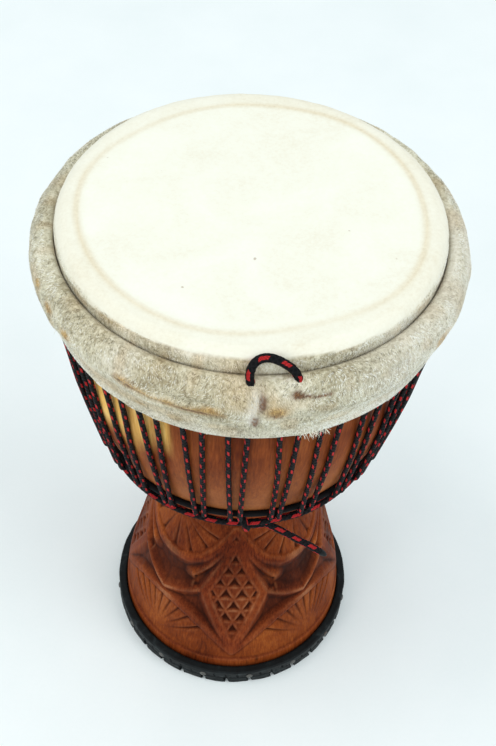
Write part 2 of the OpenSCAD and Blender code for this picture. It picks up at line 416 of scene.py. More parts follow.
def hide_material(name):
    """Shaved skin where hair is 0, short hair where it is 1.

    hair, ring, tan, brown and bleached are stored on the mesh's points."""
    s = Shade(name)
    fine = s.noise(0.35, 5.0, 0.65)
    clouds = s.noise(0.018, 4.0, 0.55, 0.5)
    specks = s.noise(0.11, 1.0, 0.4)
    skin = s.ramp(s.weigh(clouds, 0.6, fine, 0.4),
                  (0.28, (0.80, 0.765, 0.62)), (0.45, (0.865, 0.86, 0.74)), (0.62, (0.89, 0.90, 0.80)))
    skin = s.mix(s.value("ring"), skin, s.fade(fine, (0.56, 0.43, 0.22), (0.76, 0.64, 0.40)))
    skin = s.mix(s.ramp(specks, (0.165, 0.55), (0.20, 0.0)), skin, (0.30, 0.17, 0.08))
    lay = s.noise((0.30, 0.30, 0.10), 5.0, 0.7, 0.8)
    coat = s.ramp(s.weigh(clouds, 0.45, lay, 0.55), (0.32, (0.16, 0.13, 0.07)), (0.43, (0.40, 0.355, 0.23)),
                  (0.53, (0.68, 0.645, 0.48)), (0.66, (0.88, 0.87, 0.76)))
    for stored, first, last in (("tan", (0.20, 0.10, 0.026), (0.70, 0.47, 0.17)),
                                ("brown", (0.045, 0.018, 0.007), (0.20, 0.080, 0.028)),
                                ("bleached", (0.58, 0.53, 0.43), (0.84, 0.81, 0.73))):
        coat = s.mix(s.value(stored), coat, s.fade(lay, first, last))
    s.bump(s.weigh(s.math("MULTIPLY", lay, s.value("hair")), 2.2, fine, 0.22), 0.5, 0.9)
    return s.surface(s.mix(s.value("hair"), skin, coat), s.fade(fine, 0.58, 0.80),
                     Sheen_Weight=0.12, Sheen_Roughness=0.5)


def hair_material(name):
    """Goat hair: tone from 0 to 1, and tan and brown, are stored on each hair's points."""
    s = Shade(name)
    grain = s.noise(0.9, 2.0, 0.5)
    tone = s.math("MULTIPLY_ADD", grain, 0.22, s.math("SUBTRACT", s.value("tone"), 0.11))
    colour = s.ramp(tone, (0.0, (0.135, 0.115, 0.060)), (0.28, (0.44, 0.41, 0.27)), (0.54, (0.79, 0.775, 0.61)),
                    (0.86, (0.95, 0.965, 0.91)))
    for stored, first, last in (("tan", (0.17, 0.085, 0.020), (0.86, 0.60, 0.24)),
                                ("brown", (0.06, 0.022, 0.005), (0.34, 0.150, 0.040))):
        colour = s.mix(s.value(stored), colour, s.fade(tone, first, last, 0.0, 1.0))
    return s.surface(colour, s.fade(grain, 0.45, 0.65), Sheen_Weight=0.1)


def rubber_material(name):
    s = Shade(name)
    fine = s.noise(0.9, 4.0, 0.65)
    scuffs = s.noise((0.06, 0.06, 0.25), 5.0, 0.6, 0.6)
    # The black is tinted a little blue: a painted reflection of the pale surroundings.
    colour = s.ramp(scuffs, (0.35, (0.0012, 0.0025, 0.003)), (0.55, (0.004, 0.007, 0.008)),
                    (0.75, (0.030, 0.040, 0.042)))
    s.bump(s.math("MULTIPLY_ADD", scuffs, 0.6, fine), 0.5, 0.35)
    return s.surface(colour, s.fade(fine, 0.48, 0.70), Specular_IOR_Level=0.20)


def metal_material(name, tint, metallic):
    s = Shade(name)
    fine = s.noise(0.8, 4.0, 0.6)
    clouds = s.noise(0.12, 3.0, 0.6)
    rust = s.ramp(clouds, (0.60, 0.0), (0.72, 0.7))
    colour = s.mix(rust, s.fade(fine, tuple(0.72 * c for c in tint), tint), (0.16, 0.065, 0.03))
    s.bump(fine, 0.3, 0.2)
    return s.surface(colour, s.fade(clouds, 0.28, 0.55, low=0.35), Metallic=metallic)


def cloth_material(name):
    """Black strip wound round a ring, seen only between the lacing."""
    s = Shade(name)
    weave = s.noise((1.1, 1.1, 1.6), 3.0, 0.6)
    s.bump(weave, 0.7, 0.5)
    return s.surface(s.fade(weave, (0.002, 0.002, 0.0025), (0.010, 0.010, 0.011)), s.fade(weave, 0.75, 0.95),
                     Specular_IOR_Level=0.15)


def plain_rope_material(name):
    """Black braid for the hidden turns of rope, with small red flecks by place."""
    s = Shade(name)
    away = s.node("ShaderNodeTexVoronoi", {"Scale": 1.0, "Vector": s.place(0.16)}, "Distance")
    fuzz = s.noise(0.9, 3.0, 0.6)
    black = s.fade(fuzz, (0.005, 0.005, 0.006), (0.026, 0.025, 0.028))
    fleck = s.ramp(away, (0.16, 0.9), (0.20, 0.0))
    s.bump(s.noise(0.45, 2.0, 0.5), 0.6, 0.5)
    return s.surface(s.mix(fleck, black, (0.55, 0.03, 0.03)), s.fade(fuzz, 0.55, 0.75), Sheen_Weight=0.2)


def floor_material(name):
    s = Shade(name)
    soft = s.noise(0.006, 4.0, 0.5)
    fine = s.noise(0.25, 3.0, 0.5)
    colour = s.fade(s.weigh(soft, 0.8, fine, 0.2), (0.86, 0.925, 0.93), (0.91, 0.965, 0.97))
    s.bump(s.math("MULTIPLY_ADD", soft, 3.0, fine), 0.15, 0.4)
    return s.surface(colour, 0.9)


LACING_ROPE = rope_material("lacing_rope_braid", pitch=18.6, rows=4, length=0.29, width=0.50, strands=4,
                            dashes=6.4, gap=-0.8)
LOOP_ROPE = rope_material("carry_loop_braid", pitch=17.0, rows=3, length=0.42, width=0.42, strands=8,
                          dashes=5.6, gap=-0.25)
WAIST_ROPE = rope_material("waist_rope_braid", pitch=19.5, rows=4, length=0.46, width=0.60, strands=8,
                           dashes=6.6, gap=-0.35)
WOOD = wood_material("stained_wood")
HIDE = hide_material("goat_hide")
HAIR = hair_material("goat_hair")
RUBBER = rubber_material("tyre_rubber_black")
TACK = metal_material("tack_head_steel", (0.13, 0.128, 0.12), 0.7)
RING = metal_material("ring_rod_steel", (0.40, 0.40, 0.41), 1.0)
CLOTH = cloth_material("wound_black_cloth")
PLAIN_ROPE = plain_rope_material("hidden_rope_braid")
TIP = rubber_material("melted_rope_end")


# ---- shell: section, carving, bowl

WALL = 18
BOWL_C, BOWL_ARC = np.array((-281.5, 500.0)), 440
FOOT_C, FOOT_ARC = np.array((-225.5, 2.0)), 350
STEM_C, STEM_ARC = np.array((134.70, 260.47)), 60
THROAT_C, THROAT_ARC = np.array((99.70, 260.47)), 25
UNDER_C, UNDER_ARC = np.array((22.27, 371.06)), 110
FLARE, UNDER_ANGLE, BELLY_ANGLE = 13.30, 55, 23
RIM_C, RIM_ARC = np.array((147.5, 577.7)), 11


def shell_side(depth, fine):
    """The shell's outer face (depth 0) or inner face (depth WALL) in section, from the foot up."""
    return np.vstack([
        arc(FOOT_C, FOOT_ARC - depth, 0, FLARE, 10 * fine)[:-1],
        arc(STEM_C, STEM_ARC + depth, 180 + FLARE, 180, 3 * fine)[:-1],
        arc(THROAT_C, THROAT_ARC + depth, 180, 180 - UNDER_ANGLE, 4 * fine)[:-1],
        arc(UNDER_C, UNDER_ARC - depth, -UNDER_ANGLE, -BELLY_ANGLE, 6 * fine)[:-1],
        arc(BOWL_C, BOWL_ARC - depth, -BELLY_ANGLE, 0, 12 * fine),
    ])


OUTLINE = shell_side(0, 8)


def shell_r(z):
    return np.interp(z, OUTLINE[:, 1], OUTLINE[:, 0])

def line_z(s, line):
    return np.interp(s, *np.array(line).T)


# Ridges that are left standing, as (degrees from the motif's middle, height), each with its half width.
FRAME_LINE = [(0, 213), (17.8, 140), (0, 57)]
GARLAND_LINE = [(0, 232), (7, 216), (14, 200), (22, 186), (32, 176.5), (45, 173)]
LEAF_LINE = [(1.5, 224), (8, 200), (16, 179), (26, 159)]
ROOF_LINE = [(20, 139), (28, 130), (36, 122), (45, 114)]
ARCH_LINE = [(0, 46), (8, 67), (16, 83), (25, 96), (35, 103), (45, 105)]
RIDGES = [(FRAME_LINE, 4.3), (GARLAND_LINE, 3.9), (LEAF_LINE, 1.3), (ROOF_LINE, 0.9), (ARCH_LINE, 2.5)]
RIM_BAND_Z, TOP_BAND_Z = 33, 241
FAN_Z, UPPER_FAN_Z = 44, 238
LATTICE_TOP, ROW_HIGH, HALF_BASE = 203, 17.6, 8.6


def ridge_distance(s, z, radius, line):
    """Distance in mm to a ridge.

    The carving repeats by mirror about its middle and about 45 degrees, so the line's images count too."""
    scale = radius * math.pi / 180
    return np.minimum.reduce([line_distance(lambda a: (image(a) - s) * scale, z, line)
                              for image in (lambda a: a, lambda a: -a, lambda a: 90 - a)])


def rays(s, z, radius, focus_z, angles, spread, depth):
    """V grooves that widen away from a focus on the 45 degree line."""
    x = (45 - s) * radius * math.pi / 180
    y = z - focus_z
    away = np.hypot(x, y)
    bearing = np.degrees(np.arctan2(x, np.abs(y)))
    cut = np.zeros(s.shape)
    for angle in angles:
        off = np.abs(np.radians(bearing - angle)) * away
        wide = spread * np.clip(away - 6, 0, 60)
        cut = np.maximum(cut, np.clip(wide - off, 0, None) * 0.95)
    return np.minimum(cut, depth)


def lattice(x, z):
    """Depth of rows of triangular pits, deep point up, with shallow ones point down between them."""
    row = np.floor((LATTICE_TOP - z) / ROW_HIGH)
    t = (LATTICE_TOP - z) / ROW_HIGH - row
    centre = (np.round((x / HALF_BASE - row) / 2) * 2 + row) * HALF_BASE
    lean = math.cos(math.atan(HALF_BASE / ROW_HIGH))
    to_side = (HALF_BASE * t - np.abs(x - centre)) * lean
    up_pit = np.minimum(to_side, (1 - t) * ROW_HIGH)
    down_pit = np.minimum(-to_side, t * ROW_HIGH)
    shallow = np.clip(down_pit - 0.6, 0, 1.6) * 0.35
    return 0.9 + np.where(up_pit > 0.3, np.minimum((up_pit - 0.3) * 1.15, 4.2), shallow)


def carving(angle, z, radius):
    """Depth of the carving in mm, how warm and how dark the stain is there, and where the ridge ends are rubbed and
    carry a painted highlight.
    """
    a = (angle - 2 + 45) % 90 - 45
    s = np.abs(a)
    borders = [ridge_distance(s, z, radius, line) - half for line, half in RIDGES]
    edge = np.minimum.reduce(borders + [z - RIM_BAND_Z, TOP_BAND_Z - z])
    free = np.clip(edge, 0, None)

    frame_s, frame_z = np.array(FRAME_LINE[::-1]).T
    leaf_s, leaf_z = np.array(LEAF_LINE).T
    garland_z, roof_z, arch_z = line_z(s, GARLAND_LINE), line_z(s, [(0, 200)] + ROOF_LINE), line_z(s, ARCH_LINE)
    inside = s < np.interp(z, frame_z, frame_s, left=-1, right=-1)
    on_leaf = s <= np.interp(-z, -leaf_z, leaf_s)
    lower = ~inside & (z <= arch_z)
    above = ~inside & (z > garland_z)
    facet = ~inside & (z <= roof_z) & (z > arch_z)
    slot = ~inside & (z > 139) & on_leaf
    panel = ~inside & (z <= garland_z) & (z > roof_z) & ~on_leaf

    panel_mid = np.clip(1 - np.abs(z - (garland_z + roof_z) / 2) / 26, 0, 1)
    upper_rays = rays(s, z, radius, UPPER_FAN_Z, (0, 22, 44, 64), 0.060, 2.0)
    lower_rays = rays(s, z, radius, FAN_Z, (0, 13, 26, 40, 56), 0.052, 2.9)
    pits = lattice(a * radius * math.pi / 180, z)
    cut = np.select(
        [inside, lower, above, facet, slot, panel],
        [np.minimum(free * 1.2, pits), np.minimum(free * 0.8, 1.6 + lower_rays),
         np.minimum(free * 0.8, 1.5 + upper_rays), np.minimum(free * 0.55, 5.0), np.minimum(free, 5.0),
         np.minimum(free * 0.42, 3.2 + 3.2 * panel_mid)],
        5.6 * (1 - np.exp(-free * 0.17)))

    patch = bell(s - 25, 5) * bell(z - 157, 11)
    warm = np.maximum(np.where(lower, 0.50 * soft_step(free, 0, 6), 0), 0.85 * patch)
    warm = np.maximum(warm, np.where(above, 0.35, 0))
    warm = np.select([z > TOP_BAND_Z, z < RIM_BAND_Z], [0.25, 0.35], warm)
    drips = bell(angle - 15.5, 0.6) * bell(z - 31, 5.0) + 0.7 * bell(angle - 10.5, 0.5) * bell(z - 27, 3.5)
    shade = 0.46 * panel + 0.30 * facet + 0.12 * (inside & (edge > 0))
    shade = np.clip(shade * soft_step(free, 0, 5) - 0.5 * patch, 0, 1) + drips
    # Ridge ends near 45 degrees: rubbed wear with a painted highlight.
    ridge_end = soft_step(s, 31, 44) * (edge <= 0.6) * (z > 100) * (z < 190)
    return np.where(edge > 0, cut, 0), warm, np.clip(shade, 0, 1), ridge_end


def make_carved_foot():
    around, rows = 520, 186
    z = np.linspace(2.0, 262.0, rows + 1)
    angle, height = np.meshgrid(columns(around), z, indexing="ij")
    x, y = (angle + 180) / 360, height / 262
    radius = shell_r(height)
    depth, warm, shade, rubbed_and_highlit = carving(angle, height, radius)
    depth = depth * soft_step(height, 31, 37) * (1 - soft_step(height, 246, 252))
    rough = 0.22 * value_noise(x, y, 150, 40, 1) + 0.18 * value_noise(x, y, 44, 20, 2)
    depth = np.clip(depth + rough * soft_step(height, 26, 34), 0, None)
    wide = (np.roll(depth, 1, 0) + np.roll(depth, -1, 0)) / 2
    high = depth.copy()
    high[:, 1:-1] = (depth[:, 2:] + depth[:, :-2]) / 2
    depth = 0.44 * depth + 0.28 * wide + 0.28 * high
    slope = np.gradient(radius, z, axis=1)
    lean = 1 / np.sqrt(1 + slope ** 2)
    points = polar(radius - depth * lean, angle, height + depth * slope * lean)
    faces = grid_faces(around, rows + 1)
    piece = mesh_piece("carved_foot", points.reshape(-1, 3), faces, WOOD)

    blurred = depth.copy()
    for _ in range(3):
        blurred = (blurred + np.roll(blurred, 1, 0) + np.roll(blurred, -1, 0)) / 3
        blurred[:, 1:-1] = (blurred[:, 1:-1] + blurred[:, 2:] + blurred[:, :-2]) / 3
    proud = blurred - depth
    # Proud ridges get the lighter layer: rubbed wear with a painted highlight on it.
    worn = 0.8 * np.clip(proud / 0.8, 0, 1) ** 1.2 * (0.50 + 0.40 * value_noise(x, y, 26, 9, 3))
    worn = np.maximum(worn, rubbed_and_highlit * (0.40 + 0.45 * value_noise(x, y, 60, 16, 7)))
    # low: painted shade in concave creases and deep cuts, the darker stain of panels, facets and drips, and darker
    # towards the bottom next to the tyre.
    low = np.clip(-proud / 0.8, 0, 1) * 0.75 + np.clip(depth / 6, 0, 1) * 0.42
    low = low + shade * (0.85 + 0.45 * value_noise(x, y, 40, 5, 6))
    low = low + 0.5 * np.clip(1 - (height - 22) / 6, 0, 1)
    warm = warm + 0.25 * value_noise(x, y, 18, 7, 4)
    point_values(piece, low=np.clip(low, 0, 1), worn=np.clip(worn, 0, 1), warm=np.clip(warm, 0, 1))
    return piece


def make_bowl():
    """The bowl's outside, the bearing edge, the whole inside and the foot's end face."""
    around, join_z = 320, 260
    inner_arc = WALL - RIM_ARC
    outside = shell_side(0, 4)
    section = np.vstack([
        [[float(shell_r(join_z)), join_z]], outside[outside[:, 1] > join_z + 0.5],
        arc(RIM_C, RIM_ARC, 0, 90, 10),
        arc((RIM_C[0], RIM_C[1] + RIM_ARC - inner_arc), inner_arc, 90, 180, 8),
        shell_side(WALL, 3)[::-1], [[FOOT_C[0] + FOOT_ARC, FOOT_C[1]]],
    ])
    angle, height = np.meshgrid(columns(around), section[:, 1], indexing="ij")
    points = polar(section[:, 0], angle, height).reshape(-1, 3)
    angle, height = angle.ravel(), height.ravel()
    piece = mesh_piece("bowl_and_bore", points, grid_faces(around, len(section)), WOOD)
    x, y = (angle + 180) / 360, height / 600
    outer = np.abs(np.hypot(points[:, 0], points[:, 1]) - shell_r(height)) < 1.0
    noise = value_noise(x, y, 60, 7, 5)
    gold = soft_step(angle, -56, -48) * (1 - soft_step(angle + 5 * noise, -25, -18))
    gold = gold * soft_step(height + 14 * noise - 0.9 * (angle + 50), 400, 450)
    gold = gold * (0.72 + 0.45 * value_noise(x, y, 110, 5, 8))
    # lit is painted light, strongest on the lower bowl just above the bottom ring.
    lit = (1 - soft_step(height, 350, 470)) * soft_step(height, 344, 358)
    above_join = soft_step(height, 262, 310)
    foot_stain = 0.25 + 0.25 * value_noise(x, 0 * height + 1, 18, 7, 4)
    point_values(
        piece,
        pale=np.where(outer, np.clip(1.1 * gold, 0, 1), 0.25),
        warm=np.where(outer, foot_stain + above_join * (0.30 + 0.3 * noise - foot_stain), 0.2),
        # On the outside, low is a painted shadow in a band under the bottom ring.
        low=np.where(outer, 0.9 * bell(height - 340, 6.0), 0.25),
        lit=np.where(outer, above_join * np.clip(0.12 + 0.68 * lit + 0.25 * noise, 0, 1), 0))
    return piece


carved_foot = make_carved_foot()
bowl = make_bowl()
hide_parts("shell")
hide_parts("shell")


# ---- goatskin: skin, hair band, collar

HIDE_T = 1.2
HIDE_R = RIM_C[0] + RIM_ARC + 0.1 + HIDE_T / 2
CREASE_Z = 570.8
COLLAR_SHAPE = [
    (HIDE_R + 2.4, CREASE_Z + 1.4), (HIDE_R + 4.6, CREASE_Z + 2.6), (CROWN_R - 0.5, CREASE_Z + 2.6),
    (CROWN_R + 6.2, CREASE_Z - 2.2), (CROWN_R + 9.8, CROWN_Z + 8), (CROWN_R + 11.0, CROWN_Z - 3),
    (CROWN_R + 7.2, CROWN_Z - 14), (CROWN_R + 1.8, CROWN_Z - 29), (168.8, HEM_Z + 2.6),
]
COLLAR_MM_PER_DEGREE = 3.05
SEAM = 3.9
HEM_RISE = 9.5
# The lacing's outer face under the collar, as (height, radius), and the least room to the hide.
LACING_OUT = np.array([(476.0, 163.7), (524.0, 170.6), (536.5, 174.7), (549.3, 178.3)])
LACING_GAP = 0.9


def hide_section():
    """Middle line of the hide in section, with the row numbers where the side band and the collar start."""
    flat_r = np.r_[np.linspace(3, 110, 18), np.linspace(116, RIM_C[0], 14)]
    top = np.stack([flat_r, np.full(flat_r.size, HEAD_Z - HIDE_T / 2)], -1)
    rim = arc(RIM_C, RIM_ARC + 0.1 + HIDE_T / 2, 90, 0, 12)[1:]
    side = np.stack([np.full(6, HIDE_R), np.linspace(RIM_C[1], CREASE_Z - 2, 7)[1:]], -1)
    tuck = np.array((HIDE_R, CREASE_Z)) + [(0.4, -3.0), (1.4, -3.4), (2.0, -1.2)]
    collar = resample(smooth_path(COLLAR_SHAPE, 3), 2.0)
    section = np.vstack([top, rim, side, tuck, collar])
    return section, len(top) - 3, len(section) - len(collar)


def spot(angle, height, a0, z0, wide, high):
    return bell((angle - a0 + 180) % 360 - 180, wide) * bell(height - z0, high)


def spots(angle, height, table):
    return sum(strength * spot(angle, height, *where) for strength, *where in table)


def line_at(angle, height, line, wide):
    """1 on a line of (angle, height) points, fading over a width in mm."""
    return bell(line_distance(lambda a: (a - angle) * COLLAR_MM_PER_DEGREE, height, line), wide)


FOLD = [(-31, 554), (-27, 551), (-22.6, 548.5), (-16, 547.5), (-9, 547.5), (-4.5, 546.5)]
DARK_MARKS = [(12.6, 567.0), (17.6, 563.0), (21.3, 563.5)]
# Spots of colour in the hair: strength, angle, height, and how wide (degrees) and high (mm) each is.
TAN_SPOTS = [
    (1.4, -29.5, 554, 1.8, 3.6), (1.2, -17.5, 549, 1.6, 3.4), (1.5, -7.5, 549.5, 2.0, 4.2), (1.6, 57, 553, 2.2, 4.5),
    (1.5, -58, 560, 1.8, 3.5), (1.4, -49, 556, 1.6, 3.5), (1.2, -66, 563, 1.6, 3), (0.5, 150, 540, 9, 8),
    (0.5, -118, 552, 7, 6),
]
BROWN_SPOTS = [
    (2.4, 4.8, 560, 0.85, 6.5), (2.4, 3.4, 541, 0.8, 6), (0.8, 58.5, 551, 0.9, 3.0), (0.8, -48, 554.5, 0.8, 1.8),
    (1.6, 13.0, 566.5, 1.2, 2.6), (0.9, 8.0, 547, 1.4, 2.2),
]
BLEACHED_SPOTS = [(1.0, 3.2, 562, 1.3, 9), (1.0, 2.4, 547, 1.1, 11)]


def hide_patches(angle, height):
    """How tan, brown and bleached the hair is at a place on the collar; part of the brown is painted shade in the
    fold's crease.
    """
    x, y = (angle + 180) / 360, (height - 500) / 90
    uneven = 0.75 + 0.55 * value_noise(x, y, 64, 5, 20)
    tan = uneven * (2.3 * line_at(angle, height, FOLD, 2.9) + 1.5 * spot(angle, height, 8.6, 551, 2.9, 5.5))
    tan = tan + spots(angle, height, TAN_SPOTS) + 0.16 * bell(angle + 22, 30)
    tan = tan + 0.40 * soft_step(value_noise(x, y, 26, 3, 21), 0.20, 0.8)
    tan = tan + 0.30 * soft_step(value_noise(x, y, 75, 7, 23), 0.25, 0.8)
    brown = spots(angle, height, BROWN_SPOTS) + 1.1 * line_at(angle, height, DARK_MARKS, 1.2)
    # The brown line just under the fold is painted shade in the fold's crease.
    brown = brown + 1.1 * uneven * line_at(angle, height + 2.4, FOLD, 1.2)
    bleached = spots(angle, height, BLEACHED_SPOTS) + 0.5 * soft_step(value_noise(x, y, 17, 3, 22), 0.35, 0.9)
    bleached = bleached + 0.45 * soft_step(angle, 20, 45) * (1 - soft_step(angle, 80, 120))
    bleached = bleached + 0.45 * (1 - soft_step(height, 515, 522))
    return np.clip(tan, 0, 1), np.clip(brown, 0, 1), np.clip(bleached, 0, 1)


def make_hide():
    around = 400
    section, side_from, collar_from = hide_section()
    n = len(section)
    row = np.arange(n)
    y = row / n
    angle, height = np.meshgrid(columns(around), section[:, 1], indexing="ij")
    x = (angle + 180) / 360
    along = unit(np.gradient(section, axis=0))
    out = np.stack([-along[:, 1], along[:, 0]], -1)

    free = soft_step(row, collar_from, collar_from + 5)
    hem = soft_step(row, n - 9, n - 1)
    lump = (0.8 * value_noise(x, y, 44, 26, 31) + 0.5 * value_noise(x, y, 110, 60, 32)
            + 0.8 * value_noise(x, y, 15, 8, 33))
    flare = hem * (0.9 * round_noise(x, 26, 34) + 0.5 * round_noise(x, 70, 35) + 0.3)
    off = angle - SEAM
    pucker = 0.9 * bell(off + 0.5, 0.7) - 1.6 * bell(off - 0.8, 0.6) + 0.7 * bell(off, 4.5) * np.cos(off * 2.9)
    pucker = pucker - 0.8 * bell(height - 519.5, 1.6) * (angle > -60) * (angle < 75)
    crease = 1.2 * line_at(angle, height - 3, FOLD, 3.0) - 2.6 * line_at(angle, height + 2.2, FOLD, 1.5)
    give = np.interp(height, [508, 537, 549], [0.3, 0.6, 1.9])
    push = free * np.maximum(lump + flare + pucker + crease, -give)
    for foot in (-5.7, 5.7):
        push = push + 0.9 * free * spot(angle, height, LOOP_ANGLE + foot, 568, 1.6, 8)
    side_band = soft_step(row, side_from, side_from + 5) * (1 - soft_step(row, collar_from - 4, collar_from - 1))
    push = push + side_band * (0.35 * value_noise(x, y, 120, 50, 36) - 0.2)
    flat = 1 - soft_step(section[:, 0], 60, 150)
    push = push + flat * 0.25 * value_noise(x, section[:, 0] / 160, 6, 3, 37)
    sag = free * hem * 0.7 * round_noise(x, 20, 38)
    sag = sag + HEM_RISE * soft_step(row, collar_from + 7, n - 1) * soft_step(np.abs(angle - 4), 28, 80)

    sheets = []
    for offset in (HIDE_T / 2, -HIDE_T / 2):
        lift = offset + push
        r = section[:, 0] + lift * out[:, 0]
        z = section[:, 1] + lift * out[:, 1] + sag
        over_lacing = np.interp(z, *LACING_OUT.T) + LACING_GAP + offset
        r = np.where((row >= collar_from + 4) & (z < 550), np.maximum(r, over_lacing), r)
        sheets.append(polar(r, angle, z))
    points = np.concatenate(sheets, 1)
    m = 2 * n
    order = np.r_[np.arange(n), np.arange(m - 1, n - 1, -1)]
    i = np.arange(around)[:, None]
    j = (i + 1) % around
    a, b = order[:-1], order[1:]
    faces = np.stack([i * m + a, j * m + a, j * m + b, i * m + b], -1).reshape(-1, 4)[:, ::-1].tolist()
    faces.append([int(i * m) for i in range(around)])
    faces.append([int(i * m + n) for i in range(around - 1, -1, -1)])
    piece = mesh_piece("goatskin", points.reshape(-1, 3), faces, HIDE)

    tan, brown, bleached = hide_patches(angle, height)
    # Brown along the crease where the collar tucks under is painted shade.
    brown = np.maximum(brown, 0.9 * bell(row - collar_from + 2, 1.8))
    front = np.exp(-(np.abs(angle - 4) / 62) ** 2.6)
    shave = side_from + 15.5 - 6.2 * front + 0.7 * round_noise(x, 70, 41)
    away = section[:, 0] + 5 * value_noise(x, 0 * x + 0.2, 9, 1, 39)
    uneven = 0.55 + 0.45 * value_noise(x, 0 * x + 0.4, 7, 1, 40)
    ring = uneven * (0.62 * bell(away - 138, 2.8) + 0.26 * soft_step(away, 128, 150))
    inner_hair = np.full(angle.shape, 0.35)
    point_values(piece, hair=np.concatenate([soft_step(row - shave, -0.5, 0.7), inner_hair], 1))
    for name, values in (("tan", tan), ("brown", brown), ("bleached", bleached), ("ring", np.clip(ring, 0, 1))):
        point_values(piece, **{name: np.concatenate([values, values], 1)})
    return piece, sheets[0], section, side_from, collar_from


hide, hide_face, HIDE_SECTION, SIDE_FROM, COLLAR_FROM = make_hide()
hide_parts("goatskin_head")


# ---- hair on the hide

def at_rows(grid, u, v):
    """A value of a grid at fractional column u (wraps) and row v."""
    count = grid.shape[0]
    i, k = np.floor(u).astype(int) % count, np.clip(np.floor(v).astype(int), 0, grid.shape[1] - 2)
    fu, fv = (u - np.floor(u))[:, None], (v - k)[:, None]
    j = (i + 1) % count
    near = grid[i, k] * (1 - fu) + grid[j, k] * fu
    far = grid[i, k + 1] * (1 - fu) + grid[j, k + 1] * fu
    return near * (1 - fv) + far * fv


def make_hair(name, row_from, row_to, amount, length, thick, lift, seed, slack=0.5, tone_from=0.50):
    """Short flat hairs that lie down the hide, with a slow swirl."""
    rng = np.random.default_rng(SEED + seed)
    around = hide_face.shape[0]
    away = distances(HIDE_SECTION[row_from:row_to + 1])
    u = rng.uniform(0, around, amount)
    v = row_from + np.interp(rng.uniform(0, away[-1], amount), away, np.arange(len(away)))
    root = at_rows(hide_face, u, v)
    below = np.minimum(v + 0.8, hide_face.shape[1] - 1.01)
    down = unit(at_rows(hide_face, u, below) - at_rows(hide_face, u, v - 0.8))
    side = unit(at_rows(hide_face, u + 0.8, v) - at_rows(hide_face, u - 0.8, v))
    out = np.cross(side, down)
    out = out * np.sign(np.einsum("ij,ij->i", out, root * [1, 1, 0.0]) + 1e-9)[:, None]
    x = u / around
    y = v / 80
    swirl = 0.9 * value_noise(x, y, 34, 12, seed + 1) + 0.5 * value_noise(x, y, 90, 30, seed + 2)
    swirl = swirl + rng.normal(0, slack * 0.55, amount)
    heading = np.cos(swirl)[:, None] * down + np.sin(swirl)[:, None] * side
    across = np.cross(out, heading)
    long = length * rng.uniform(0.6, 1.25, (amount, 1))
    wide = thick * rng.uniform(0.7, 1.3, (amount, 1))
    rise = lift * rng.uniform(0.5, 1.6, (amount, 1))
    base = root + 0.05 * out
    middle = base + heading * 0.55 * long + out * rise * 0.8 + across * rng.normal(0, 0.25, (amount, 1))
    tip = base + heading * long + out * rise * 0.75 + across * rng.normal(0, 0.5, (amount, 1))
    half = across * wide / 2
    points = np.stack([base - half, base + half, middle + 0.8 * half, middle - 0.8 * half, tip], 1)
    i = np.arange(amount)[:, None] * 5
    quads = (i + np.array([0, 1, 2, 3])).tolist()
    ends = (i + np.array([3, 2, 4])).tolist()
    piece = mesh_piece(name, points.reshape(-1, 3), quads + ends, HAIR, smooth=False)
    angle = np.degrees(np.arctan2(root[:, 0], -root[:, 1]))
    tan, brown, bleached = hide_patches(angle, root[:, 2])
    tone = tone_from + 0.27 * rng.normal(0, 1, amount) + 0.24 * value_noise(x, y, 90, 34, seed + 3)
    tone = tone + 0.20 * value_noise(x, y, 30, 11, seed + 4) + 0.3 * bleached - 0.1 * tan
    point_values(piece, tone=np.repeat(np.clip(tone, 0, 1), 5), tan=np.repeat(tan, 5), brown=np.repeat(brown, 5))
    return piece


LAST_ROW = hide_face.shape[1] - 1
make_hair("hair_of_rim_band", SIDE_FROM + 10, COLLAR_FROM - 4, 18000, 1.6, 0.28, 0.14, 50, tone_from=0.66)
make_hair("hair_of_collar", COLLAR_FROM, LAST_ROW - 1, 62000, 2.2, 0.32, 0.20, 60)
make_hair("hair_over_hem", LAST_ROW - 3, LAST_ROW - 1, 3000, 3.0, 0.34, 0.3, 70, 0.8)


# Where loose tufts stand out of the hem: angle, spread in degrees, number of hairs.
HEM_TUFTS = [(19.5, 2.6, 34), (22.5, 1.6, 14), (-63, 3.0, 16), (118, 4.0, 22), (-140, 3.5, 20)]


def make_tufts():
    """Loose tufts that stand out of the hem in a few places."""
    rng = np.random.default_rng(SEED + 80)
    points, faces, tones = [], [], []
    for centre, spread, count in HEM_TUFTS:
        for _ in range(count):
            angle = centre + rng.normal(0, spread / 2)
            column = int((angle + 180) / 360 * hide_face.shape[0]) % hide_face.shape[0]
            root = hide_face[column, LAST_ROW - 1]
            out, side = directions(angle)
            aim = unit(-0.75 * UP + rng.uniform(-0.1, 0.55) * out + rng.normal(0, 0.55) * side)
            long = rng.uniform(4.5, 9.5)
            bend = rng.normal(0, 0.9) * side + rng.uniform(0, 1.0) * out
            half = 0.21 * unit(np.cross(aim, out))
            base = len(points)
            for t in (0, 0.4, 0.75):
                middle = root + aim * long * t + bend * t * t
                points += [middle - half * (1 - 0.6 * t), middle + half * (1 - 0.6 * t)]
            points.append(root + aim * long + bend)
            faces += [tuple(base + k for k in face) for face in ((0, 1, 3, 2), (2, 3, 5, 4), (4, 5, 6))]
            tones += [rng.uniform(0.45, 0.95)] * 7
    piece = mesh_piece("hem_tufts", points, faces, HAIR, smooth=False)
    point_values(piece, tone=tones, tan=np.full(len(tones), 0.15), brown=np.zeros(len(tones)))


make_tufts()


# ---- lacing

